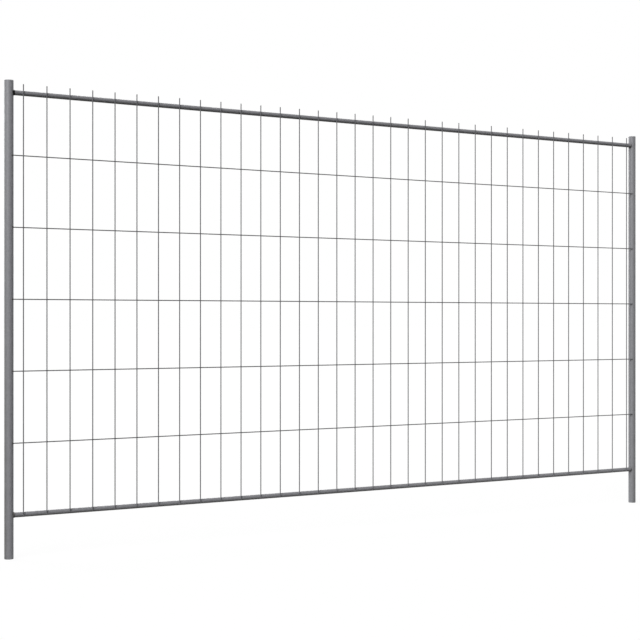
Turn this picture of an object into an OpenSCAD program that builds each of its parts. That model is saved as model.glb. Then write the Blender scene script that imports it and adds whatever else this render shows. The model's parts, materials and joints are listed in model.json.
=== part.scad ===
// Temporary fence panel: two round posts, two round rails and a mesh of welded wires.
// Sizes are in millimetres. X runs along the panel, the mesh is on the -Y side and Z is up.
// The origin is on the ground, halfway between the two posts.

/* [Mesh] */
// Number of vertical wires
column_count = 34; // [20:1:45]
// Number of horizontal wires between the rails
row_count = 5; // [3:1:9]
// Spacing of the vertical wires
vertical_pitch = 100; // [50:1:150]
// Spacing of the horizontal wires, counted up from the bottom rail
horizontal_pitch = 300; // [100:1:400]
// Diameter of a vertical wire
vertical_d = 4.5; // [3:0.1:6]
// Diameter of a horizontal wire
horizontal_d = 4.5; // [3:0.1:6]
// Clear gap between a post and the vertical wire beside it
side_gap = 34.75; // [15:0.25:80]
// Highest horizontal wire below the axis of the top rail
top_gap = 262; // [60:1:400]
// Wire tips above the axis of the top rail
wire_tip = 36; // [15:1:80]
// Wire tails below the axis of the bottom rail
wire_tail = 3; // [2:0.5:15]

/* [Posts] */
// Outside diameter of a post
post_od = 38; // [32:0.5:50]
// Wall of a post
post_wall = 1.5; // [1:0.1:3]
// Top of the posts above the axis of the top rail
post_head = 51; // [20:1:150]
// Front of the posts ahead of the back of the vertical wires
post_lead = 2; // [1:0.1:4]

/* [Rails] */
// Outside diameter of a rail
rail_od = 21.3; // [18:0.1:28]
// Wall of a rail
rail_wall = 1.5; // [1:0.1:3]
// Axis of the bottom rail above the ground
bottom_rail_rise = 182; // [60:1:300]
// Gap between the square end of a rail and the post, closed by its weld
rail_gap = 0.5; // [0.2:0.1:1.5]

/* [Welds] */
// Depth to which a vertical wire is pressed into the rails and wires that it crosses
press_depth = 0.3; // [0.1:0.05:0.6]
// Length of a rail weld along its rail
weld_leg = 3; // [2:0.1:5]
// Height of a rail weld above its rail
weld_height = 1.2; // [0.5:0.1:1.8]
// Depth of a rail weld below the outside of its rail
weld_depth = 5.5; // [4:0.1:7]
// Length of a rail weld's slope past the rail end, before the post cuts it off
weld_slope = 13; // [11:0.5:18]
// Weld metal round each end of a horizontal wire
tack_leg = 1.5; // [1:0.1:3]

/* [Hidden] */
$fn = 128;
// Length by which a cut runs past the piece that it cuts
overcut = 1;
// Gap between a weld and the round faces that it lies on
weld_fit = 0.1;

// The two sides of the panel
left = -1;
right = 1;

tube_grey = [0.55, 0.55, 0.57];
wire_grey = [0.52, 0.52, 0.54];
weld_grey = [0.22, 0.22, 0.23];

post_r = post_od / 2;
rail_r = rail_od / 2;
vertical_r = vertical_d / 2;
horizontal_r = horizontal_d / 2;
tack_r = horizontal_r + tack_leg;

// The mesh sets the places of the posts and of the top rail
columns = [0 : column_count - 1];
rows = [0 : row_count - 1];
mesh_half = vertical_pitch * (column_count - 1) / 2;
post_x = mesh_half + vertical_r + side_gap + post_r;
top_rail_z = row_z(row_count - 1) + top_gap;
post_height = top_rail_z + post_head;

// The vertical wires lie against this plane, with the rails and the horizontal wires behind it
mesh_y = post_lead - post_r;
rail_y = mesh_y + rail_r;
horizontal_y = mesh_y + horizontal_r;
vertical_y = mesh_y - vertical_r + press_depth;

// A horizontal wire ends this far from the post axis, on the round of the post
wire_end_reach = sqrt(post_r * post_r - horizontal_y * horizontal_y);
wire_foot_z = bottom_rail_rise - wire_tail;
wire_length = top_rail_z + wire_tip - wire_foot_z;

// A rail ends this far from the middle of the panel
rail_half = post_x - post_r - rail_gap;

function horizontal_name(row) = str("horizontal_wire_", row + 1);
function vertical_name(column) = str("vertical_wire_", column < 9 ? "0" : "", column + 1);

function column_x(column) = column * vertical_pitch - mesh_half;
function row_z(row) = bottom_rail_rise + (row + 1) * horizontal_pitch;

// Puts what is drawn for the right side on either side
module on_side(side) {
    mirror([side == left ? 1 : 0, 0, 0])
        children();
}

// The full round of a post, thicker by a gap where one is left round it
module post_bar(side, gap = 0) {
    translate([side * post_x, 0, 0])
        cylinder(r = post_r + gap, h = post_height);
}

module post(side) {
    color(tube_grey)
        difference() {
            post_bar(side);
            translate([side * post_x, 0, -overcut])
                cylinder(r = post_r - post_wall, h = post_height + 2 * overcut);
        }
}

// A round bar along the panel, as long to each side of the middle
module cross_bar(r, y, z, half) {
    translate([-half, y, z])
        rotate([0, 90, 0])
            cylinder(r = r, h = 2 * half);
}

module rail_bar(z) {
    cross_bar(rail_r, rail_y, z, rail_half);
}

module rail(z) {
    color(tube_grey)
        difference() {
            rail_bar(z);
            cross_bar(rail_r - rail_wall, rail_y, z, rail_half + overcut);
        }
}

module horizontal_bar(row) {
    cross_bar(horizontal_r, horizontal_y, row_z(row), post_x);
}

module horizontal_wire(row) {
    color(wire_grey)
        difference() {
            horizontal_bar(row);
            post_bar(left);
            post_bar(right);
        }
}

module vertical_wire(column) {
    color(wire_grey)
        difference() {
            translate([column_x(column), vertical_y, wire_foot_z])
                cylinder(r = vertical_r, h = wire_length);
            rail_bar(top_rail_z);
            rail_bar(bottom_rail_rise);
            for (row = rows)
                horizontal_bar(row);
        }
}

// A ring of weld metal on the square end of a rail, sloping down from a collar round the rail
module weld_ring() {
    rotate([0, 90, 0])
        rotate_extrude()
            polygon([
                [rail_r + weld_fit, -weld_leg],
                [rail_r + weld_height, 0],
                [rail_r - weld_depth, weld_slope],
                [rail_r - weld_depth, 0],
                [rail_r + weld_fit, 0]
            ]);
}

module rail_weld(side, z) {
    color(weld_grey)
        on_side(side)
            difference() {
                translate([rail_half, rail_y, z])
                    weld_ring();
                post_bar(right, weld_fit);
            }
}

// Each tack is a ball round the end of a wire, with its poles on the wire
module wire_tacks(side) {
    color(weld_grey)
        on_side(side)
            for (row = rows)
                difference() {
                    translate([post_x - wire_end_reach, horizontal_y, row_z(row)])
                        rotate([0, 90, 0])
                            sphere(r = tack_r);
                    post_bar(right);
                    horizontal_bar(row);
                }
}

module left_post() { post(left); }
module right_post() { post(right); }
module top_rail() { rail(top_rail_z); }
module bottom_rail() { rail(bottom_rail_rise); }
module top_left_weld() { rail_weld(left, top_rail_z); }
module top_right_weld() { rail_weld(right, top_rail_z); }
module bottom_left_weld() { rail_weld(left, bottom_rail_rise); }
module bottom_right_weld() { rail_weld(right, bottom_rail_rise); }
module left_wire_tacks() { wire_tacks(left); }
module right_wire_tacks() { wire_tacks(right); }

left_post();
right_post();
top_rail();
bottom_rail();
for (row = rows)
    horizontal_wire(row);
for (column = columns)
    vertical_wire(column);
top_left_weld();
top_right_weld();
bottom_left_weld();
bottom_right_weld();
left_wire_tacks();
right_wire_tacks();
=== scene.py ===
"""Looks of a temporary fence panel: zinc finishes, weld detail, floor, light and camera.

Lengths are in metres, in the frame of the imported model: X runs along the panel, the wire mesh lies on the
-Y side and Z is up.
"""

import json
import logging
import math
from abc import ABC, abstractmethod
from dataclasses import dataclass, replace
from enum import Enum
from typing import Any, ClassVar

import bmesh
import bpy
import numpy as np
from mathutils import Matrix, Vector


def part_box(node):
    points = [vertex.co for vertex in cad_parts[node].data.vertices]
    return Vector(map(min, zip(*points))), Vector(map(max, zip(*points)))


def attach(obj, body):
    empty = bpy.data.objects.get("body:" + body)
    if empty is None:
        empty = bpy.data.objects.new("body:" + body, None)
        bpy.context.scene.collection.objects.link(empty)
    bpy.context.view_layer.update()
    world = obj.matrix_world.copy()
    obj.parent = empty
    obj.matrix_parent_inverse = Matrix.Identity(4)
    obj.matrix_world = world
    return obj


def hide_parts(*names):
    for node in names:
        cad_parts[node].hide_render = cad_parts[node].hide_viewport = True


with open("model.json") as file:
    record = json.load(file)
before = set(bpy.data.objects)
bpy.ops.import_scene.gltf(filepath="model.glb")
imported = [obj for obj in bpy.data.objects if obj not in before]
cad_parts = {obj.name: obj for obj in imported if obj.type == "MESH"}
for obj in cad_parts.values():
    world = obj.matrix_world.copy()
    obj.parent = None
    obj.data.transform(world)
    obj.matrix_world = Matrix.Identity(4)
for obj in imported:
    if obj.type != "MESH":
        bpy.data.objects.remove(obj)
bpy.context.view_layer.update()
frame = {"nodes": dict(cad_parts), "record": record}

LOG = logging.getLogger("fence_panel")
BODY = "root"
MM = 0.001
FULL_TURN = 2 * math.pi
QUARTER_TURN = math.pi / 2
NOISE_MIDDLE = 0.5

Triple = tuple[float, float, float]
Material = bpy.types.Material
Socket = bpy.types.NodeSocket


class Side(Enum):
    """The two ends of the panel, with the sign of X there."""

    LEFT = -1
    RIGHT = 1

    @property
    def word(self) -> str:
        """The side's name as the nodes spell it."""
        return self.name.lower()


class Level(Enum):
    """The two rails, as the nodes spell them."""

    TOP = "top"
    BOTTOM = "bottom"


class Run(Enum):
    """The axis that a bar runs along."""

    ALONG = 0
    UP = 2


class WireEnd(Enum):
    """The two ends of the upright wires, with the turn that points a cap outwards there."""

    TIPS = 0.0
    TAILS = math.pi


class Slot(Enum):
    """The record's material slots for the new pieces."""

    POST = "post_steel"
    WIRE = "wire_steel"
    WELD = "weld_metal"


class Kind(Enum):
    """The types of socket that the node trees use."""

    VALUE = "NodeSocketFloat"
    COUNT = "NodeSocketInt"
    VECTOR = "NodeSocketVector"
    GEOMETRY = "NodeSocketGeometry"
    MATERIAL = "NodeSocketMaterial"


@dataclass(frozen=True)
class Bar:
    """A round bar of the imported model, read from its node's box."""

    node: str
    run: Run

    @property
    def low(self) -> Vector:
        """Lowest corner of the box."""
        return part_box(self.node)[0]

    @property
    def high(self) -> Vector:
        """Highest corner of the box."""
        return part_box(self.node)[1]

    @property
    def middle(self) -> Vector:
        """Middle of the box."""
        return (self.low + self.high) / 2

    @property
    def radius(self) -> float:
        """Half the bar's width, across its run and across Y."""
        across = Run.UP if self.run is Run.ALONG else Run.ALONG
        return (self.high[across.value] - self.low[across.value]) / 2


def node_names(start: str) -> list[str]:
    """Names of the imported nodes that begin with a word, in order."""
    return sorted(name for name in frame["nodes"] if name.startswith(start))


POSTS = {side: Bar(f"{side.word}_post", Run.UP) for side in Side}
RAILS = {level: Bar(f"{level.value}_rail", Run.ALONG) for level in Level}
# Heights of the rails, by the inputs of the effects that measure from them
RAIL_HEIGHTS = {"Low Z": RAILS[Level.BOTTOM].middle.z, "High Z": RAILS[Level.TOP].middle.z}
CROSS_WIRES = [Bar(name, Run.ALONG) for name in node_names("horizontal_wire")]
UPRIGHT_WIRES = [Bar(name, Run.UP) for name in node_names("vertical_wire")]


def mount_radius(name: str) -> float:
    """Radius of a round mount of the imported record."""
    mount = next(m for m in frame["record"]["mounts"] if m["name"] == name)
    return mount["dims"]["r_mm"] * MM


def alike(value: float) -> Triple:
    """The same value on all three axes, or in all three parts of a colour."""
    return (value, value, value)


class Wiring:
    """Adds nodes to one tree and joins them up."""

    def __init__(self, tree: bpy.types.NodeTree) -> None:
        """Keeps the tree that the nodes go into."""
        self.tree = tree

    @classmethod
    def fresh(cls, owner: Material | bpy.types.World) -> "Wiring":
        """Starts on a new material or world, with no nodes in its tree.

        Args:
            owner: The material or world.

        Returns:
            The wiring of its tree.
        """
        owner.use_nodes = True
        owner.node_tree.nodes.clear()
        return cls(owner.node_tree)

    def put(self, kind: str, feeds: dict[str | int, Any] | None = None, **settings: Any) -> bpy.types.Node:
        """Adds a node.

        Args:
            kind: Type of the node.
            feeds: What each input gets, by name or place: a socket to link, or a plain value.
            settings: Properties of the node itself.

        Returns:
            The new node.
        """
        node = self.tree.nodes.new(kind)
        for name, value in settings.items():
            setattr(node, name, value)
        for socket, value in (feeds or {}).items():
            self.feed(node.inputs[socket], value)
        return node

    def feed(self, socket: Socket, value: Any) -> None:
        """Gives an input what it needs.

        Args:
            socket: The input.
            value: A socket to link to it, or a plain value.
        """
        if isinstance(value, Socket):
            self.tree.links.new(value, socket)
        else:
            socket.default_value = value

    def math(self, operation: str, *values: Any) -> Socket:
        """Result of a sum on sockets or numbers."""
        return self.put("ShaderNodeMath", dict(enumerate(values)), operation=operation).outputs[0]

    def vectors(self, operation: str, first: Any, second: Any) -> Socket:
        """Result of a sum on two vectors."""
        return self.put("ShaderNodeVectorMath", {0: first, 1: second}, operation=operation).outputs[0]

    def ramp(self, value: Any, start: Any, end: Any) -> Socket:
        """A smooth step of a value, 0 at start and 1 at end."""
        feeds = {"Value": value, "From Min": start, "From Max": end}
        return self.put("ShaderNodeMapRange", feeds, interpolation_type="SMOOTHSTEP").outputs[0]

    def swing(self, value: Any, amount: Any) -> Socket:
        """A factor about 1 from a value about a half, as far to each side as the amount says."""
        centred = self.math("MULTIPLY_ADD", value, 2.0, -1.0)
        return self.math("MULTIPLY_ADD", centred, amount, 1.0)

    def shade(self, colour: Any, factor: Any) -> Socket:
        """A colour, or another vector, times a factor."""
        return self.put("ShaderNodeVectorMath", {0: colour, "Scale": factor}, operation="SCALE").outputs[0]

    def cover(self, under: Any, over: Triple, mask: Any) -> Socket:
        """One colour laid over another.

        Args:
            under: The lower colour.
            over: The upper colour.
            mask: How much of the upper colour shows.

        Returns:
            The colour that is seen.
        """
        # A Mix node has sockets for every type of value, and these are its places for colours
        factor, lower, upper, result = 0, 6, 7, 2
        feeds = {factor: mask, lower: under, upper: (*over, 1.0)}
        return self.put("ShaderNodeMix", feeds, data_type="RGBA").outputs[result]

    def noise(self, vector: Any, scale: Any, detail: float = 3.0) -> Socket:
        """A cloudy value about a half."""
        feeds = {"Vector": vector, "Scale": scale, "Detail": detail}
        return self.put("ShaderNodeTexNoise", feeds).outputs[0]

    def parts(self, vector: Any) -> list[Socket]:
        """The three parts of a vector."""
        return list(self.put("ShaderNodeSeparateXYZ", {0: vector}).outputs)

    def from_rails(self, height: Any, low: Any, high: Any) -> Socket:
        """How far a height is from the nearer rail."""
        away = [self.math("ABSOLUTE", self.math("SUBTRACT", height, rail)) for rail in (low, high)]
        return self.math("MINIMUM", *away)

    def surface(self, feeds: dict[str, Any], height: Any, bump: float) -> None:
        """Ends a material in a surface with a fine relief.

        Args:
            feeds: What the surface's inputs get, by name.
            height: Height of the relief.
            bump: Strength of the relief.
        """
        relief = self.put("ShaderNodeBump", {"Strength": bump, "Distance": MM, "Height": height})
        shader = self.put("ShaderNodeBsdfPrincipled", feeds | {"Normal": relief.outputs[0]})
        self.put("ShaderNodeOutputMaterial", {"Surface": shader.outputs[0]})


class Recipe(ABC):
    """A node tree with named inputs and outputs, built on its first use."""

    title: ClassVar[str]
    tree_type: ClassVar[str]
    inputs: ClassVar[dict[str, Kind]]
    outputs: ClassVar[dict[str, Kind]]

    @classmethod
    def tree(cls) -> bpy.types.NodeTree:
        """The recipe's tree."""
        return bpy.data.node_groups.get(cls.title) or cls._build()

    @classmethod
    def _build(cls) -> bpy.types.NodeTree:
        """Makes the tree with its sockets and nodes.

        Returns:
            The new tree.
        """
        made = bpy.data.node_groups.new(cls.title, cls.tree_type)
        for name, kind in cls.inputs.items():
            made.interface.new_socket(name, in_out="INPUT", socket_type=kind.value)
        for name, kind in cls.outputs.items():
            made.interface.new_socket(name, in_out="OUTPUT", socket_type=kind.value)
        wiring = Wiring(made)
        given = wiring.put("NodeGroupInput").outputs
        wiring.put("NodeGroupOutput", cls.wire(wiring, given))
        return made

    @staticmethod
    @abstractmethod
    def wire(wiring: Wiring, given: Any) -> dict[str, Socket]:
        """Adds the recipe's nodes.

        Args:
            wiring: The tree to add to.
            given: The tree's inputs, by name.

        Returns:
            The socket that feeds each output, by name.
        """


class Effect(Recipe):
    """A shader node group that puts out masks, factors or heights for the finishes."""

    tree_type = "ShaderNodeTree"

    @classmethod
    def place(cls, wiring: Wiring, feeds: dict[str, Any]) -> Any:
        """Puts the group into a material and gives its outputs."""
        return wiring.put("ShaderNodeGroup", feeds, node_tree=cls.tree()).outputs


class Spangle(Effect):
    """The crystal flowers of hot-dip zinc: patches that differ a little in tone and gloss."""

    title = "zinc_spangle"
    inputs = {"Vector": Kind.VECTOR, "Scale": Kind.VALUE, "Contrast": Kind.VALUE}
    outputs = {"Tone": Kind.VALUE, "Gloss": Kind.VALUE}

    @staticmethod
    def wire(wiring: Wiring, given: Any) -> dict[str, Socket]:
        """Gives each crystal its own tone and gloss.

        Args:
            wiring: The tree to add to.
            given: The tree's inputs, by name.

        Returns:
            The socket that feeds each output, by name.
        """
        crystals = wiring.put("ShaderNodeTexVoronoi", {"Vector": given["Vector"], "Scale": given["Scale"]})
        tone, gloss, _ = wiring.parts(crystals.outputs["Color"])
        return {"Tone": wiring.swing(tone, given["Contrast"]), "Gloss": gloss}


class DrawnGrain(Effect):
    """Fine streaks along a tube or wire from rolling and drawing."""

    title = "drawn_grain"
    inputs = {"Vector": Kind.VECTOR, "Stretch": Kind.VECTOR, "Contrast": Kind.VALUE}
    outputs = {"Tone": Kind.VALUE, "Height": Kind.VALUE}

    @staticmethod
    def wire(wiring: Wiring, given: Any) -> dict[str, Socket]:
        """Draws a cloudy value out along the bar.

        Args:
            wiring: The tree to add to.
            given: The tree's inputs, by name.

        Returns:
            The socket that feeds each output, by name.
        """
        drawn = wiring.vectors("MULTIPLY", given["Vector"], given["Stretch"])
        streak = wiring.noise(drawn, scale=1.0)
        return {"Tone": wiring.swing(streak, given["Contrast"]), "Height": streak}


class GroundGrime(Effect):
    """Painted shade that thins out upwards from the ground and lies thickest on one side of a bar, broken
    into clouds.
    """

    title = "ground_grime"
    inputs = {
        "Vector": Kind.VECTOR,
        "Weather": Kind.VECTOR,
        "Fall Off": Kind.VALUE,
        "Reach": Kind.VALUE,
        "Amount": Kind.VALUE,
    }
    outputs = {"Mask": Kind.VALUE}

    @staticmethod
    def wire(wiring: Wiring, given: Any) -> dict[str, Socket]:
        """Fades the painted shade with height and round the bar, and breaks it into clouds.

        Args:
            wiring: The tree to add to.
            given: The tree's inputs, by name.

        Returns:
            The socket that feeds each output, by name.
        """
        blotch_scale, least_share = 14.0, 0.6
        *_, height = wiring.parts(given["Vector"])
        fade = wiring.math("SUBTRACT", 1.0, wiring.math("DIVIDE", height, given["Reach"]))
        normal = wiring.put("ShaderNodeNewGeometry").outputs["Normal"]
        feeds = {0: normal, 1: given["Weather"]}
        facing = wiring.put("ShaderNodeVectorMath", feeds, operation="DOT_PRODUCT").outputs["Value"]
        turned = wiring.math("DIVIDE", wiring.math("ADD", facing, 1.0), 2.0)
        side = wiring.math("POWER", turned, given["Fall Off"])
        clouds = wiring.math("ADD", wiring.noise(given["Vector"], blotch_scale), least_share)
        thick = wiring.math("MULTIPLY", wiring.math("MAXIMUM", fade, 0.0), given["Amount"])
        return {"Mask": wiring.math("MULTIPLY", wiring.math("MULTIPLY", thick, side), clouds)}


class JointScorch(Effect):
    """The dull burnt band that welding leaves round the four rail ends."""

    title = "joint_scorch"
    inputs = {
        "Vector": Kind.VECTOR,
        "Joint X": Kind.VALUE,
        "Low Z": Kind.VALUE,
        "High Z": Kind.VALUE,
        "Inner": Kind.VALUE,
        "Outer": Kind.VALUE,
    }
    outputs = {"Mask": Kind.VALUE}

    @staticmethod
    def wire(wiring: Wiring, given: Any) -> dict[str, Socket]:
        """Measures from the nearest rail end, with a ragged edge.

        Args:
            wiring: The tree to add to.
            given: The tree's inputs, by name.

        Returns:
            The socket that feeds each output, by name.
        """
        ragged_scale, ragged_width = 160.0, 0.008
        x, _, z = wiring.parts(given["Vector"])
        along = wiring.math("SUBTRACT", wiring.math("ABSOLUTE", x), given["Joint X"])
        rise = wiring.from_rails(z, given["Low Z"], given["High Z"])
        squares = [wiring.math("MULTIPLY", value, value) for value in (along, rise)]
        away = wiring.math("SQRT", wiring.math("ADD", *squares))
        ragged = wiring.noise(given["Vector"], ragged_scale)
        edge = wiring.math("MULTIPLY_ADD", ragged, ragged_width, away)
        return {"Mask": wiring.ramp(edge, given["Outer"], given["Inner"])}


class CutEnds(Effect):
    """Bare bright steel at the cut ends of an upright bar."""

    title = "cut_ends"
    inputs = {"Vector": Kind.VECTOR, "Low": Kind.VALUE, "High": Kind.VALUE, "Width": Kind.VALUE}
    outputs = {"Mask": Kind.VALUE}

    @staticmethod
    def wire(wiring: Wiring, given: Any) -> dict[str, Socket]:
        """Measures from the nearer end, with a chipped edge.

        Args:
            wiring: The tree to add to.
            given: The tree's inputs, by name.

        Returns:
            The socket that feeds each output, by name.
        """
        chip_scale = 400.0
        *_, height = wiring.parts(given["Vector"])
        from_low = wiring.math("SUBTRACT", height, given["Low"])
        from_high = wiring.math("SUBTRACT", given["High"], height)
        nearest = wiring.math("MINIMUM", from_low, from_high)
        chips = wiring.math("DIVIDE", wiring.noise(given["Vector"], chip_scale), NOISE_MIDDLE)
        edge = wiring.math("MULTIPLY", chips, given["Width"])
        return {"Mask": wiring.ramp(nearest, edge, 0.0)}


class ZincPool(Effect):
    """The paler, thicker zinc where an upright wire lies on a rail."""

    title = "zinc_pool"
    inputs = {
        "Vector": Kind.VECTOR,
        "Low Z": Kind.VALUE,
        "High Z": Kind.VALUE,
        "Inner": Kind.VALUE,
        "Outer": Kind.VALUE,
    }
    outputs = {"Mask": Kind.VALUE}

    @staticmethod
    def wire(wiring: Wiring, given: Any) -> dict[str, Socket]:
        """Measures up and down from the nearer rail.

        Args:
            wiring: The tree to add to.
            given: The tree's inputs, by name.

        Returns:
            The socket that feeds each output, by name.
        """
        *_, height = wiring.parts(given["Vector"])
        away = wiring.from_rails(height, given["Low Z"], given["High Z"])
        return {"Mask": wiring.ramp(away, given["Outer"], given["Inner"])}


class HandlingScratches(Effect):
    """Thin bright scratches along a bar from stacking and from foot blocks."""

    title = "handling_scratches"
    inputs = {"Vector": Kind.VECTOR, "Stretch": Kind.VECTOR, "Amount": Kind.VALUE}
    outputs = {"Mask": Kind.VALUE}

    @staticmethod
    def wire(wiring: Wiring, given: Any) -> dict[str, Socket]:
        """Follows the level lines of a drawn-out cloud and breaks them up.

        Args:
            wiring: The tree to add to.
            given: The tree's inputs, by name.

        Returns:
            The socket that feeds each output, by name.
        """
        line_width, break_scale, break_start, break_end = 0.012, 35.0, 0.52, 0.66
        drawn = wiring.vectors("MULTIPLY", given["Vector"], given["Stretch"])
        cloud = wiring.noise(drawn, scale=1.0, detail=1.0)
        level = wiring.math("ABSOLUTE", wiring.math("SUBTRACT", cloud, NOISE_MIDDLE))
        lines = wiring.ramp(level, line_width, 0.0)
        breaks = wiring.ramp(wiring.noise(given["Vector"], break_scale), break_start, break_end)
        mask = wiring.math("MULTIPLY", lines, breaks)
        return {"Mask": wiring.math("MULTIPLY", mask, given["Amount"])}


@dataclass(frozen=True)
class ZincFinish:
    """Dull zinc on a tube or wire, with painted shade towards the ground and burnt at the welds."""

    name: str
    tone: Triple
    crystal: float
    crystal_contrast: float
    grain_width: float
    grain_contrast: float
    grime_amount: float
    grain_length: float = 0.25
    bump: float = 0.12
    metallic: float = 0.15
    specular: float = 0.45
    smoothest: float = 0.37
    roughest: float = 0.55
    # Painted shade, darker towards the ground and thickest on the side that this vector points to
    weather: Triple = (-1.0, 0.0, 0.0)
    grime_tone: Triple = (0.085, 0.082, 0.078)
    grime_reach: float = 2.1
    grime_fall_off: float = 3.5
    # Burnt bands at the rail ends
    scorch_tone: Triple = (0.075, 0.072, 0.07)
    scorch_inner: float = 0.016
    scorch_outer: float = 0.03
    scorch_share: float = 0.15
    # Thicker zinc where a wire lies on a rail
    pooled: bool = False
    pool_tone: Triple = (0.175, 0.175, 0.186)
    pool_fade: float = 0.006
    # Bare steel in scratches and at cut ends
    bare_tone: Triple = (0.4, 0.4, 0.41)
    scratch_share: float = 0.35
    scratch_spacing: float = 0.006
    scratch_length: float = 0.06
    cut_width: float = 0.0

    @staticmethod
    def _stretch(run: Run, across: float, along: float) -> Vector:
        """Scale of a pattern that is drawn out along a bar.

        Args:
            run: The way that the bar runs.
            across: Size of the pattern's marks across the bar.
            along: Their size along the bar.

        Returns:
            The scale on each axis.
        """
        scale = Vector(alike(1 / across))
        scale[run.value] = 1 / along
        return scale

    def _grime(self, wiring: Wiring, place: Socket) -> Socket:
        """Mask of the painted shade."""
        feeds = {
            "Vector": place,
            "Weather": self.weather,
            "Fall Off": self.grime_fall_off,
            "Reach": self.grime_reach,
            "Amount": self.grime_amount,
        }
        return GroundGrime.place(wiring, feeds)["Mask"]

    def _scorch(self, wiring: Wiring, place: Socket) -> Socket:
        """Mask of the burnt bands at the rail ends.

        Args:
            wiring: The material's tree.
            place: Coordinates on the object.

        Returns:
            The mask.
        """
        post = POSTS[Side.RIGHT]
        feeds = {
            "Vector": place,
            "Joint X": post.middle.x - post.radius,
            "Inner": self.scorch_inner,
            "Outer": self.scorch_outer,
        }
        band = JointScorch.place(wiring, feeds | RAIL_HEIGHTS)["Mask"]
        return wiring.math("MULTIPLY", band, self.scorch_share)

    def _pool(self, wiring: Wiring, place: Socket) -> Socket:
        """Mask of the thicker zinc on the rails.

        Args:
            wiring: The material's tree.
            place: Coordinates on the object.

        Returns:
            The mask.
        """
        inner = RAILS[Level.TOP].radius
        feeds = {"Vector": place, "Inner": inner, "Outer": inner + self.pool_fade}
        return ZincPool.place(wiring, feeds | RAIL_HEIGHTS)["Mask"]

    def _scratches(self, wiring: Wiring, place: Socket, run: Run) -> Socket:
        """Mask of the scratches.

        Args:
            wiring: The material's tree.
            place: Coordinates on the object.
            run: The way that the bars run.

        Returns:
            The mask.
        """
        stretch = self._stretch(run, self.scratch_spacing, self.scratch_length)
        feeds = {"Vector": place, "Stretch": stretch, "Amount": self.scratch_share}
        return HandlingScratches.place(wiring, feeds)["Mask"]

    def _ends(self, wiring: Wiring, place: Socket, bar: Bar) -> Socket:
        """Mask of the cut ends."""
        feeds = {"Vector": place, "Low": bar.low.z, "High": bar.high.z, "Width": self.cut_width}
        return CutEnds.place(wiring, feeds)["Mask"]

    def _layers(self, wiring: Wiring, place: Socket, bar: Bar) -> list[tuple[Triple, Socket]]:
        """What lies on the zinc.

        Args:
            wiring: The material's tree.
            place: Coordinates on the object.
            bar: One of the bars that get the finish.

        Returns:
            The tone and the mask of each layer, from the lowest up.
        """
        # The lowest layer is painted shade, darker towards the ground and on one side
        layers = [(self.grime_tone, self._grime(wiring, place))]
        if self.scorch_share:
            layers.append((self.scorch_tone, self._scorch(wiring, place)))
        if self.pooled:
            layers.append((self.pool_tone, self._pool(wiring, place)))
        if self.scratch_share:
            layers.append((self.bare_tone, self._scratches(wiring, place, bar.run)))
        if self.cut_width:
            layers.append((self.bare_tone, self._ends(wiring, place, bar)))
        return layers

    def material(self, bar: Bar) -> Material:
        """Builds the finish.

        Args:
            bar: One of the bars that get it.

        Returns:
            The material.
        """
        made = bpy.data.materials.new(self.name)
        wiring = Wiring.fresh(made)
        place = wiring.put("ShaderNodeTexCoord").outputs["Object"]
        crystals = {"Vector": place, "Scale": 1 / self.crystal, "Contrast": self.crystal_contrast}
        spangle = Spangle.place(wiring, crystals)
        stretch = self._stretch(bar.run, self.grain_width, self.grain_length)
        streaks = {"Vector": place, "Stretch": stretch, "Contrast": self.grain_contrast}
        grain = DrawnGrain.place(wiring, streaks)
        colour = wiring.shade(self.tone, wiring.math("MULTIPLY", spangle["Tone"], grain["Tone"]))
        for tone, mask in self._layers(wiring, place, bar):
            colour = wiring.cover(colour, tone, mask)
        span = self.roughest - self.smoothest
        feeds = {
            "Base Color": colour,
            "Roughness": wiring.math("MULTIPLY_ADD", spangle["Gloss"], span, self.smoothest),
            "Metallic": self.metallic,
            "Specular IOR Level": self.specular,
        }
        wiring.surface(feeds, grain["Height"], self.bump)
        return made


@dataclass(frozen=True)
class WeldFinish:
    """Dark scale on weld metal, with paler and browner patches."""

    name: str
    scale_tone: Triple
    patch_tone: Triple
    patch_scale: float = 220.0
    patch_start: float = 0.5
    patch_end: float = 0.75
    smoothest: float = 0.5
    roughest: float = 0.8
    grain_scale: float = 1500.0
    grain_contrast: float = 0.4
    bump: float = 0.35
    specular: float = 0.15

    def material(self) -> Material:
        """Builds the finish.

        Returns:
            The material.
        """
        made = bpy.data.materials.new(self.name)
        wiring = Wiring.fresh(made)
        place = wiring.put("ShaderNodeTexCoord").outputs["Object"]
        patches = wiring.ramp(wiring.noise(place, self.patch_scale), self.patch_start, self.patch_end)
        grit = wiring.noise(place, self.grain_scale)
        scale = wiring.shade(self.scale_tone, wiring.swing(grit, self.grain_contrast))
        span = self.roughest - self.smoothest
        feeds = {
            "Base Color": wiring.cover(scale, self.patch_tone, patches),
            "Roughness": wiring.math("MULTIPLY_ADD", grit, span, self.smoothest),
            "Specular IOR Level": self.specular,
        }
        wiring.surface(feeds, grit, self.bump)
        return made


WeldMetal = dict[WeldFinish, Material]

# The posts take painted shade, darker towards the ground: the left post on its -X side, the right post on
# its front
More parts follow.
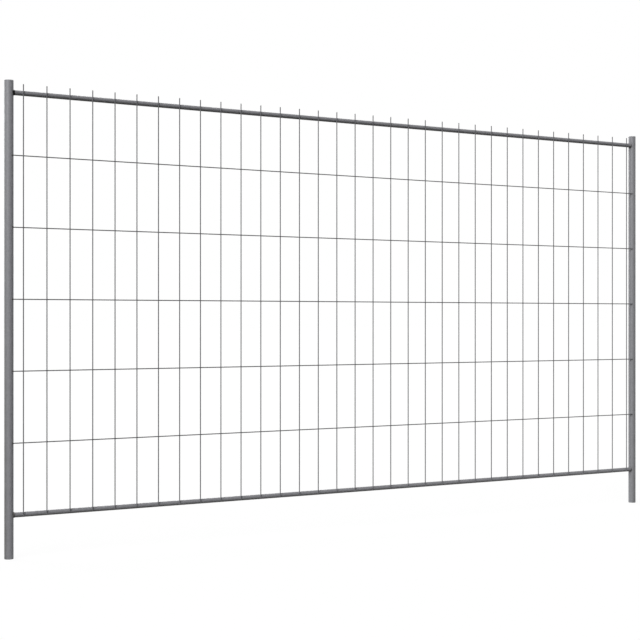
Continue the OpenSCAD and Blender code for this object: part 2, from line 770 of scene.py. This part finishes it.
LEFT_POST_ZINC = ZincFinish(
    "left_post_zinc", (0.278, 0.279, 0.298), crystal=0.0045, crystal_contrast=0.09, grain_width=0.0009,
    grain_contrast=0.05, grime_amount=0.75, cut_width=0.0012,
)
RIGHT_POST_ZINC = replace(
    LEFT_POST_ZINC, name="right_post_zinc", grime_amount=0.45, grime_reach=5.0, weather=(0.3, -0.95, 0.0)
)
# The rails take painted shade on their undersides
RAIL_ZINC = ZincFinish(
    "rail_zinc", (0.238, 0.238, 0.254), crystal=0.0045, crystal_contrast=0.09, grain_width=0.0009,
    grain_contrast=0.05, grime_amount=2.2, grime_reach=6.0, grime_fall_off=5.0, weather=(0.0, 0.0, -1.0),
    metallic=0.05, specular=0.3,
)
# The wires take a light painted shade, darker towards the ground and on their -X side
UPRIGHT_ZINC = ZincFinish(
    "upright_wire_zinc", (0.15, 0.15, 0.157), crystal=0.0025, crystal_contrast=0.07, grain_width=0.0004,
    grain_contrast=0.05, grime_amount=0.3, cut_width=0.0008, scorch_share=0.0, scratch_share=0.0,
    pooled=True, specular=0.18, metallic=0.0,
)
CROSS_ZINC = ZincFinish(
    "cross_wire_zinc", (0.13, 0.13, 0.137), crystal=0.0025, crystal_contrast=0.07, grain_width=0.0004,
    grain_contrast=0.05, grime_amount=0.3, scorch_share=0.0, scratch_share=0.0, specular=0.18, metallic=0.0,
)
# The welds on the left post are painted darker than those on the right, as painted shade: the top left bead
# near black, the bottom left bead and the left tacks brown
SHADED_BLACK_SCALE = WeldFinish("dark_bead_scale", (0.008, 0.008, 0.0084), (0.022, 0.02, 0.019), specular=0.05)
SHADED_BROWN_SCALE = WeldFinish("brown_bead_scale", (0.095, 0.092, 0.089), (0.13, 0.122, 0.114), specular=0.1)
GREY_SCALE = WeldFinish("grey_bead_scale", (0.15, 0.15, 0.157), (0.19, 0.184, 0.178))
RAIL_SPOT_SCALE = WeldFinish("rail_spot_scale", (0.22, 0.22, 0.232), (0.25, 0.245, 0.24))
SPOT_SCALE = WeldFinish("spot_weld_scale", (0.04, 0.04, 0.042), (0.08, 0.074, 0.07), specular=0.1)

WELD_SCALES = (SHADED_BLACK_SCALE, SHADED_BROWN_SCALE, GREY_SCALE, RAIL_SPOT_SCALE, SPOT_SCALE)
POST_ZINCS = {Side.LEFT: LEFT_POST_ZINC, Side.RIGHT: RIGHT_POST_ZINC}
# The left beads get the darker scales as painted shade
BEAD_SCALES = {
    (Level.TOP, Side.LEFT): SHADED_BLACK_SCALE,
    (Level.BOTTOM, Side.LEFT): SHADED_BROWN_SCALE,
    (Level.TOP, Side.RIGHT): GREY_SCALE,
    (Level.BOTTOM, Side.RIGHT): GREY_SCALE,
}
# The left tacks get the brown scale as painted shade
TACK_SCALES = {Side.LEFT: SHADED_BROWN_SCALE, Side.RIGHT: GREY_SCALE}


def solid_piece(name: str, rings: np.ndarray, material: Material) -> bpy.types.Object:
    """Makes a smooth closed piece from rings of points that close on themselves both ways.

    Args:
        name: Name of the piece.
        rings: Points, as an array of rings by sides by 3.
        material: Its finish.

    Returns:
        The piece, at the origin.
    """
    count, sides, _ = rings.shape
    shape = bmesh.new()
    points = [[shape.verts.new(point) for point in ring] for ring in rings]
    for step in range(count):
        for side in range(sides):
            here, there = points[step], points[(step + 1) % count]
            after = (side + 1) % sides
            shape.faces.new((here[side], there[side], there[after], here[after])).smooth = True
    bmesh.ops.recalc_face_normals(shape, faces=shape.faces)
    mesh = bpy.data.meshes.new(name)
    shape.to_mesh(mesh)
    shape.free()
    mesh.materials.append(material)
    piece = bpy.data.objects.new(name, mesh)
    bpy.context.scene.collection.objects.link(piece)
    return piece


def settle(piece: bpy.types.Object, slot: Slot, *replaced: str) -> None:
    """Fixes a piece to the panel.

    Args:
        piece: The new piece.
        slot: The record's slot for its finish; not used.
        replaced: Nodes that it stands for.
    """
    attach(piece, BODY)
    if replaced:
        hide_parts(*replaced)
    LOG.info("%s: %d faces", piece.name, len(piece.data.polygons))


def dress_node(name: str, material: Material) -> None:
    """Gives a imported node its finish.

    Args:
        name: Name of the node.
        material: The finish.
    """
    mesh = frame["nodes"][name].data
    mesh.materials.clear()
    mesh.materials.append(material)
    LOG.info("%s: %s", name, material.name)


class Pattern(Recipe):
    """A geometry node tree that repeats one small shape along the panel."""

    tree_type = "GeometryNodeTree"
    outputs = {"Geometry": Kind.GEOMETRY}

    @classmethod
    def grow(cls, name: str, values: dict[str, Any]) -> bpy.types.Object:
        """Makes a piece from the tree.

        Args:
            name: Name of the piece.
            values: The tree's inputs, by name.

        Returns:
            The piece as a plain mesh, at the origin.
        """
        tree = cls.tree()
        piece = bpy.data.objects.new(name, bpy.data.meshes.new(name))
        bpy.context.scene.collection.objects.link(piece)
        modifier = piece.modifiers.new(cls.title, "NODES")
        modifier.node_group = tree
        # The inputs are set by identifier, before the object is first evaluated
        for socket in tree.interface.items_tree:
            if socket.in_out == "INPUT":
                modifier[socket.identifier] = values[socket.name]
        graph = bpy.context.evaluated_depsgraph_get()
        mesh = bpy.data.meshes.new_from_object(piece.evaluated_get(graph))
        piece.modifiers.remove(modifier)
        piece.data = mesh
        mesh.name = name
        return piece

    @staticmethod
    def row(wiring: Wiring, count: Any, start: Any, step: Any) -> Socket:
        """Points in a straight row."""
        feeds = {"Count": count, "Start Location": start, "Offset": step}
        return wiring.put("GeometryNodeMeshLine", feeds).outputs[0]

    @staticmethod
    def ball(wiring: Wiring, segments: int, rings: int) -> Socket:
        """A ball with a radius of 1."""
        feeds = {"Segments": segments, "Rings": rings, "Radius": 1.0}
        return wiring.put("GeometryNodeMeshUVSphere", feeds).outputs[0]

    @staticmethod
    def chance(wiring: Wiring, low: Triple, high: Triple, seed: Any) -> Socket:
        """A vector drawn for each copy."""
        feeds = {0: low, 1: high, "Seed": seed}
        return wiring.put("FunctionNodeRandomValue", feeds, data_type="FLOAT_VECTOR").outputs[0]

    @staticmethod
    def copies(wiring: Wiring, feeds: dict[str, Any]) -> Socket:
        """A shape set on each of some points."""
        return wiring.put("GeometryNodeInstanceOnPoints", feeds).outputs[0]

    @staticmethod
    def finish(wiring: Wiring, copies: Any, material: Any) -> dict[str, Socket]:
        """Turns the copies into one smooth mesh with a finish.

        Args:
            wiring: The tree to add to.
            copies: The copies.
            material: The finish.

        Returns:
            The socket that feeds the tree's output, by name.
        """
        real = wiring.put("GeometryNodeRealizeInstances", {0: copies})
        smooth = wiring.put("GeometryNodeSetShadeSmooth", {0: real.outputs[0]})
        end = wiring.put("GeometryNodeSetMaterial", {0: smooth.outputs[0], "Material": material})
        return {"Geometry": end.outputs[0]}


class WeldFlash(Pattern):
    """The flat collars of metal that spot welding squeezes out where bars cross."""

    title = "weld_flash"
    inputs = {
        "Columns": Kind.COUNT,
        "Rows": Kind.COUNT,
        "Column Step": Kind.VECTOR,
        "Row Step": Kind.VECTOR,
        "Start": Kind.VECTOR,
        "Radii": Kind.VECTOR,
        "Seed": Kind.COUNT,
        "Material": Kind.MATERIAL,
    }

    @staticmethod
    def wire(wiring: Wiring, given: Any) -> dict[str, Socket]:
        """Sets a flattened, slightly uneven collar on every crossing.

        Args:
            wiring: The tree to add to.
            given: The tree's inputs, by name.

        Returns:
            The socket that feeds each output, by name.
        """
        segments, rings, uneven, lean = 8, 5, 0.16, 0.12
        rows = Pattern.row(wiring, given["Rows"], given["Start"], given["Row Step"])
        columns = Pattern.row(wiring, given["Columns"], alike(0.0), given["Column Step"])
        lines = Pattern.copies(wiring, {"Points": rows, "Instance": columns})
        crossings = wiring.put("GeometryNodeRealizeInstances", {0: lines})
        size = Pattern.chance(wiring, alike(1 - uneven), alike(1 + uneven), given["Seed"])
        collars = {
            "Points": crossings.outputs[0],
            "Instance": Pattern.ball(wiring, segments, rings),
            "Rotation": Pattern.chance(wiring, alike(-lean), alike(lean), given["Seed"]),
            "Scale": wiring.vectors("MULTIPLY", size, given["Radii"]),
        }
        return Pattern.finish(wiring, Pattern.copies(wiring, collars), given["Material"])


class ShearedEnds(Pattern):
    """The leaning, narrowed faces that a shear leaves on the wire ends."""

    title = "sheared_ends"
    inputs = {
        "Count": Kind.COUNT,
        "Step": Kind.VECTOR,
        "Start": Kind.VECTOR,
        "Facing": Kind.VECTOR,
        "Radius": Kind.VALUE,
        "Narrowing": Kind.VALUE,
        "Height": Kind.VALUE,
        "Seed": Kind.COUNT,
        "Material": Kind.MATERIAL,
    }

    @staticmethod
    def wire(wiring: Wiring, given: Any) -> dict[str, Socket]:
        """Sets a leaning cap on each wire end.

        Args:
            wiring: The tree to add to.
            given: The tree's inputs, by name.

        Returns:
            The socket that feeds each output, by name.
        """
        sides, lean = 12, 0.1
        cone = {
            "Vertices": sides,
            "Radius Top": wiring.math("MULTIPLY", given["Radius"], given["Narrowing"]),
            "Radius Bottom": given["Radius"],
            "Depth": given["Height"],
        }
        leaning = Pattern.chance(wiring, (-lean, -lean, 0.0), (lean, lean, 0.0), given["Seed"])
        caps = {
            "Points": Pattern.row(wiring, given["Count"], given["Start"], given["Step"]),
            "Instance": wiring.put("GeometryNodeMeshCone", cone).outputs[0],
            "Rotation": wiring.vectors("ADD", leaning, given["Facing"]),
        }
        return Pattern.finish(wiring, Pattern.copies(wiring, caps), given["Material"])


class TackRow(Pattern):
    """The lumps of weld metal that hold the ends of the cross wires to a post."""

    title = "tack_row"
    inputs = {
        "Count": Kind.COUNT,
        "Step": Kind.VECTOR,
        "Start": Kind.VECTOR,
        "Turn": Kind.VECTOR,
        "Radii": Kind.VECTOR,
        "Lumps": Kind.VALUE,
        "Seed": Kind.COUNT,
        "Material": Kind.MATERIAL,
    }

    @staticmethod
    def wire(wiring: Wiring, given: Any) -> dict[str, Socket]:
        """Sets a lump on each wire end and makes each one uneven.

        Args:
            wiring: The tree to add to.
            given: The tree's inputs, by name.

        Returns:
            The socket that feeds each output, by name.
        """
        segments, rings, lump_scale, lump_steps = 20, 12, 420.0, 10.0
        lumps = {
            "Points": Pattern.row(wiring, given["Count"], given["Start"], given["Step"]),
            "Instance": Pattern.ball(wiring, segments, rings),
            "Rotation": given["Turn"],
            "Scale": given["Radii"],
        }
        real = wiring.put("GeometryNodeRealizeInstances", {0: Pattern.copies(wiring, lumps)})
        clouds = {
            "Vector": wiring.put("GeometryNodeInputPosition").outputs[0],
            "W": wiring.math("MULTIPLY", given["Seed"], lump_steps),
            "Scale": lump_scale,
        }
        noise = wiring.put("ShaderNodeTexNoise", clouds, noise_dimensions="4D").outputs[0]
        height = wiring.math("MULTIPLY", wiring.math("SUBTRACT", noise, NOISE_MIDDLE), given["Lumps"])
        offset = wiring.shade(wiring.put("GeometryNodeInputNormal").outputs[0], height)
        moved = wiring.put("GeometryNodeSetPosition", {0: real.outputs[0], "Offset": offset})
        return Pattern.finish(wiring, moved.outputs[0], given["Material"])


@dataclass
class PostTubes:
    """The two posts: open tubes with rounded rims and the seam of their own tube weld inside."""

    rim_round: float = 0.0004
    rim_steps: int = 4
    support: float = 0.003
    wall_steps: int = 9
    segments: int = 120
    seam_height: float = 0.0005
    seam_width: float = 0.0014
    seam_turn: float = QUARTER_TURN

    def _rim(self, radius: float, level: float, quarter: int) -> list[tuple[float, float]]:
        """One rounded edge of a tube's end.

        Args:
            radius: Radius of the middle of the rounding.
            level: Height of the middle of the rounding.
            quarter: The quarter of a circle that it takes, counted round from outwards.

        Returns:
            Radius and height of each point.
        """
        turns = (quarter + np.linspace(0, 1, self.rim_steps + 1)) * QUARTER_TURN
        radii = radius + self.rim_round * np.cos(turns)
        levels = level + self.rim_round * np.sin(turns)
        return list(zip(radii, levels))

    def _profile(self, outer: float, inner: float, height: float) -> list[Triple]:
        """Section of the wall.

        Args:
            outer: Outside radius.
            inner: Inside radius.
            height: Height of the post.

        Returns:
            Radius, height and share of the inner seam for each point, once round the section.
        """
        levels = np.linspace(self.support, height - self.support, self.wall_steps)
        outside, inside = outer - self.rim_round, inner + self.rim_round
        bottom, top = self.rim_round, height - self.rim_round
        points = [(outer, level) for level in levels]
        points += self._rim(outside, top, 0) + self._rim(inside, top, 1)
        points += [(inner, level) for level in reversed(levels)]
        points += self._rim(inside, bottom, 2) + self._rim(outside, bottom, 3)
        middle = (outer + inner) / 2
        return [(radius, level, float(radius < middle)) for radius, level in points]

    def build(self) -> None:
        """Makes both tubes in place of their nodes."""
        turns = np.linspace(0, FULL_TURN, self.segments, endpoint=False)[:, None]
        for side, post in POSTS.items():
            inner = mount_radius(f"{side.word}_post_bore")
            radii, levels, seam_share = np.array(self._profile(post.radius, inner, post.high.z)).T
            across = (turns - self.seam_turn) * inner / self.seam_width
            radii = radii - self.seam_height * np.exp(-(across**2)) * seam_share
            rings = np.stack(
                [
                    post.middle.x + radii * np.cos(turns),
                    post.middle.y + radii * np.sin(turns),
                    np.broadcast_to(levels, radii.shape),
                ],
                axis=2,
            )
            tube = solid_piece(f"{side.word}_post_tube", rings, POST_ZINCS[side].material(post))
            settle(tube, Slot.POST, post.node)


@dataclass
class RailTubes:
    """The two rails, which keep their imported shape."""

    finish: ZincFinish = RAIL_ZINC

    def dress(self) -> None:
        """Gives the rails their finish."""
        material = self.finish.material(RAILS[Level.TOP])
        for rail in RAILS.values():
            dress_node(rail.node, material)


@dataclass
class RailWelds:
    """The four rippled welds that join the square rail ends to the round of the posts."""

    leg: float = 0.0018
    height: float = 0.0012
    depth: float = 0.0055
    slope: float = 0.013
    sink: float = 0.0003
    steps: int = 168
    leg_steps: int = 4
    slope_steps: int = 7
    ripples: int = 34
    ripple_depth: float = 0.0004
    ripple_middle: float = 0.5
    ripple_bow: float = 1.1
    waver_depth: float = 0.0004
    waver_lobes: tuple[int, int] = (3, 5)
    waver_start: float = 1.0
    cut_rounds: int = 60

    @property
    def steepness(self) -> float:
        """Drop of the weld's slope for its length."""
        return (self.height + self.depth) / self.slope

    def _cut(self, post: Bar, rail: Bar, turn: np.ndarray) -> np.ndarray:
        """How far past the rail end the weld's slope meets the post.

        Args:
            post: The post.
            rail: The rail.
            turn: Angles round the rail, from +Y.

        Returns:
            The distance at each angle.
        """
        gap = post.middle.x - rail.high.x
        crest = rail.radius + self.height
        # The slope's height at the cut sets where the post is met, so each round brings the two closer
        cut = np.zeros_like(turn)
        for _ in range(self.cut_rounds):
            y = rail.middle.y + (crest - self.steepness * cut) * np.cos(turn)
            cut = gap - np.sqrt(post.radius**2 - y**2)
        return cut

    def _relief(self, turn: np.ndarray, share: np.ndarray) -> np.ndarray:
        """Ripples and waver of the weld's surface.

        Args:
            turn: Angles round the rail.
            share: Places across the weld: -1 on the rail, 0 at the crest and 1 on the post.

        Returns:
            The height at each angle and place.
        """
        ripple = np.abs(np.sin(turn * self.ripples / 2 + self.ripple_bow * share**2)) - self.ripple_middle
        waver = np.mean([np.sin(lobes * turn + self.waver_start) for lobes in self.waver_lobes], axis=0)
        return (self.ripple_depth * ripple + self.waver_depth * waver) * np.cos(share * QUARTER_TURN)

    def _rings(self, post: Bar, rail: Bar) -> np.ndarray:
        """Points of one weld on the right post.

        Args:
            post: The right post.
            rail: The rail.

        Returns:
            Rings of points, measured from the middle of the rail's end.
        """
        turn = np.linspace(0, FULL_TURN, self.steps, endpoint=False)[:, None]
        climb = np.linspace(-1, 0, self.leg_steps, endpoint=False)
        fall = np.linspace(0, 1, self.slope_steps + 1)
        share = np.concatenate([climb, fall])[None, :]
        cut = self._cut(post, rail, turn) + self.sink
        along = np.where(share < 0, self.leg, cut) * share
        collar = self.height * np.cos(share * QUARTER_TURN)
        rise = np.where(share < 0, collar, self.height - self.steepness * along)
        radius = rail.radius + rise + self._relief(turn, share)
        inner = np.full_like(turn, rail.radius - self.sink)
        front, back = np.full_like(turn, self.sink), np.full_like(turn, -self.leg)
        along = np.concatenate([front, back, along], axis=1)
        radius = np.concatenate([inner, inner, radius], axis=1)
        return np.stack([along, radius * np.cos(turn), radius * np.sin(turn)], axis=2)

    def build(self, materials: WeldMetal) -> None:
        """Makes the welds in place of their nodes.

        Args:
            materials: Material of each weld finish.
        """
        for (level, side), scale in BEAD_SCALES.items():
            rail = RAILS[level]
            rings = self._rings(POSTS[Side.RIGHT], rail)
            rings += np.array([rail.high.x, rail.middle.y, rail.middle.z])
            rings[:, :, 0] *= side.value
            bead = solid_piece(f"{level.value}_{side.word}_bead", rings, materials[scale])
            settle(bead, Slot.WELD, f"{level.value}_{side.word}_weld")


@dataclass
class WireMesh:
    """The welded mesh: its wires, their sheared ends and the flash at their crossings."""

    flash_radii: Triple = (0.0032, 0.0009, 0.0029)
    rail_flash_radii: Triple = (0.0032, 0.0008, 0.0038)
    end_height: float = 0.0009
    end_narrowing: float = 0.72
    seed: int = 7

    @property
    def step(self) -> Triple:
        """The way from one upright wire to the next."""
        first, second = UPRIGHT_WIRES[:2]
        return (second.middle.x - first.middle.x, 0.0, 0.0)

    def dress(self) -> Material:
        """Gives the wires their finishes.

        Returns:
            The finish of the upright wires, for their ends.
        """
        upright = UPRIGHT_ZINC.material(UPRIGHT_WIRES[0])
        cross = CROSS_ZINC.material(CROSS_WIRES[0])
        for wire in UPRIGHT_WIRES:
            dress_node(wire.node, upright)
        for wire in CROSS_WIRES:
            dress_node(wire.node, cross)
        return upright

    def _flash(self, materials: WeldMetal) -> None:
        """Makes the flash at the crossings and on the rails.

        Args:
            materials: Material of each weld finish.
        """
        first = UPRIGHT_WIRES[0]
        contact = CROSS_WIRES[0].low.y
        rows = {
            "crossing_flash": (CROSS_WIRES, self.flash_radii, SPOT_SCALE),
            "top_rail_flash": ([RAILS[Level.TOP]], self.rail_flash_radii, RAIL_SPOT_SCALE),
            "bottom_rail_flash": ([RAILS[Level.BOTTOM]], self.rail_flash_radii, RAIL_SPOT_SCALE),
        }
        for number, (name, (bars, radii, scale)) in enumerate(rows.items()):
            rise = bars[-1].middle.z - bars[0].middle.z
            values = {
                "Columns": len(UPRIGHT_WIRES),
                "Rows": len(bars),
                "Column Step": self.step,
                "Row Step": (0.0, 0.0, rise / max(1, len(bars) - 1)),
                "Start": (first.middle.x, contact, bars[0].middle.z),
                "Radii": radii,
                "Seed": self.seed + number,
                "Material": materials[scale],
            }
            settle(WeldFlash.grow(name, values), Slot.WELD)

    def _ends(self, material: Material) -> None:
        """Makes the sheared ends of the upright wires.

        Args:
            material: Their finish.
        """
        first = UPRIGHT_WIRES[0]
        levels = {WireEnd.TIPS: first.high.z, WireEnd.TAILS: first.low.z}
        for number, (end, level) in enumerate(levels.items()):
            values = {
                "Count": len(UPRIGHT_WIRES),
                "Step": self.step,
                "Start": (first.middle.x, first.low.y + first.radius, level),
                "Facing": (end.value, 0.0, 0.0),
                "Radius": first.radius,
                "Narrowing": self.end_narrowing,
                "Height": self.end_height,
                "Seed": self.seed + number,
                "Material": material,
            }
            settle(ShearedEnds.grow(f"wire_{end.name.lower()}", values), Slot.WIRE)

    def build(self, materials: WeldMetal, ends: Material) -> None:
        """Makes the flash and the wire ends."""
        self._flash(materials)
        self._ends(ends)


@dataclass
class WireTacks:
    """The tack welds at the ends of the cross wires."""

    across: float = 0.0037
    out: float = 0.0024
    lift: float = 0.001
    lumps: float = 0.0016
    seed: int = 3

    def build(self, materials: WeldMetal) -> None:
        """Makes a row of tacks on each post in place of its node.

        Args:
            materials: Material of each weld finish.
        """
        first, last = CROSS_WIRES[0], CROSS_WIRES[-1]
        rise = (last.middle.z - first.middle.z) / (len(CROSS_WIRES) - 1)
        y = first.middle.y
        for side, post in POSTS.items():
            inward = -side.value * math.sqrt(post.radius**2 - y**2)
            out = Vector((inward, y, 0.0)) / post.radius
            foot = Vector((post.middle.x, post.middle.y, first.middle.z))
            values = {
                "Count": len(CROSS_WIRES),
                "Step": (0.0, 0.0, rise),
                "Start": foot + out * (post.radius + self.lift),
                "Turn": (0.0, 0.0, math.atan2(out.y, out.x)),
                "Radii": (self.out, self.across, self.across),
                "Lumps": self.lumps,
                "Seed": self.seed,
                "Material": materials[TACK_SCALES[side]],
            }
            tacks = TackRow.grow(f"{side.word}_tack_welds", values)
            settle(tacks, Slot.WELD, f"{side.word}_wire_tacks")


@dataclass(frozen=True)
class Lamp:
    """A broad, far lamp."""

    name: str
    towards: Triple
    strength: float
    spread: float

    def build(self) -> None:
        """Adds the lamp to the scene."""
        light = bpy.data.lights.new(self.name, "SUN")
        light.energy = self.strength
        light.angle = self.spread
        lamp = bpy.data.objects.new(self.name, light)
        lamp.rotation_euler = (-Vector(self.towards)).to_track_quat("-Z", "Y").to_euler()
        bpy.context.scene.collection.objects.link(lamp)


@dataclass
class Studio:
    """A white floor and backdrop, soft lamps and the camera."""

    lamps: tuple[Lamp, ...] = (
        Lamp("key_lamp", (-0.604, -0.507, 0.616), 2.8, math.radians(45)),
        Lamp("fill_lamp", (0.75, -0.6, 0.28), 0.09, math.radians(40)),
        Lamp("rim_lamp", (-0.45, 0.75, 0.5), 1.2, math.radians(25)),
        Lamp("back_lamp", (0.1, 0.9, 0.4), 1.3, math.radians(40)),
    )
    ambient: float = 0.11
    floor_half: float = 120.0
    floor_drop: float = 0.0005
    floor_tone: float = 0.08
    floor_white: float = 1.004
    # Camera, with its lens and sensor in millimetres, and the picture's side and horizon in pixels
    camera_place: Triple = (-3.076, -5.2465, 0.999)
    camera_yaw: float = math.radians(28.473)
    lens: float = 71.04
    sensor: float = 36.0
    picture: float = 640.0
    horizon: float = 319.18

    @property
    def floor_glow(self) -> float:
        """Glow that brings the lit floor up to white."""
        lit = sum(lamp.strength * Vector(lamp.towards).normalized().z for lamp in self.lamps) / math.pi
        return self.floor_white - self.floor_tone * (lit + self.ambient)

    @staticmethod
    def _seen(wiring: Wiring) -> Socket:
        """Tells what is seen from what only lights the panel.

        Args:
            wiring: The tree to add to.

        Returns:
            1 for a ray from the camera, a reflection or a clear piece, and 0 for the light itself.
        """
        path = wiring.put("ShaderNodeLightPath").outputs
        straight = wiring.math("MAXIMUM", path["Is Camera Ray"], path["Is Glossy Ray"])
        return wiring.math("MAXIMUM", straight, path["Is Transmission Ray"])

    def _world(self) -> None:
        """A white backdrop that lights the panel only a little."""
        world = bpy.data.worlds.new("studio")
        wiring = Wiring.fresh(world)
        strength = wiring.math("MULTIPLY_ADD", self._seen(wiring), 1 - self.ambient, self.ambient)
        white = (*alike(1.0), 1.0)
        backdrop = wiring.put("ShaderNodeBackground", {"Color": white, "Strength": strength})
        wiring.put("ShaderNodeOutputWorld", {"Surface": backdrop.outputs[0]})
        bpy.context.scene.world = world

    def _floor(self) -> None:
        """A pale floor that keeps the panel's shadow."""
        half = self.floor_half
        corners = [(-half, -half), (half, -half), (half, half), (-half, half)]
        mesh = bpy.data.meshes.new("floor")
        mesh.from_pydata([(x, y, -self.floor_drop) for x, y in corners], [], [(0, 1, 2, 3)])
        material = bpy.data.materials.new("floor_white")
        wiring = Wiring.fresh(material)
        glow = wiring.math("MULTIPLY", self._seen(wiring), self.floor_glow)
        light = wiring.put("ShaderNodeEmission", {"Strength": glow})
        matt = wiring.put("ShaderNodeBsdfDiffuse", {"Color": (*alike(self.floor_tone), 1.0)})
        both = wiring.put("ShaderNodeAddShader", {0: light.outputs[0], 1: matt.outputs[0]})
        wiring.put("ShaderNodeOutputMaterial", {"Surface": both.outputs[0]})
        mesh.materials.append(material)
        floor = bpy.data.objects.new("floor", mesh)
        bpy.context.scene.collection.objects.link(floor)

    def _camera(self) -> None:
        """The camera, level, where the picture was taken from."""
        camera = bpy.data.cameras.new("camera")
        camera.lens = self.lens
        camera.sensor_width = self.sensor
        camera.shift_y = (self.horizon - self.picture / 2) / self.picture
        holder = bpy.data.objects.new("camera", camera)
        holder.location = self.camera_place
        holder.rotation_euler = (QUARTER_TURN, 0.0, -self.camera_yaw)
        bpy.context.scene.collection.objects.link(holder)
        bpy.context.scene.camera = holder

    def build(self) -> None:
        """Sets up the floor, backdrop, lamps and camera."""
        bpy.context.scene.view_settings.view_transform = "Standard"
        self._camera()
        self._world()
        self._floor()
        for lamp in self.lamps:
            lamp.build()


def clear_start() -> None:
    """Removes the objects that a new file begins with."""
    for name in ("Cube", "Light", "Camera"):
        if name in bpy.data.objects and name not in frame["nodes"]:
            bpy.data.objects.remove(bpy.data.objects[name])


def main() -> None:
    """Builds and dresses the panel, piece by piece."""
    logging.basicConfig(level=logging.INFO, format="%(message)s")
    clear_start()
    Studio().build()
    weld_metal = {scale: scale.material() for scale in WELD_SCALES}
    PostTubes().build()
    RailTubes().dress()
    RailWelds().build(weld_metal)
    mesh = WireMesh()
    mesh.build(weld_metal, mesh.dress())
    WireTacks().build(weld_metal)


if __name__ == "__main__":
    main()
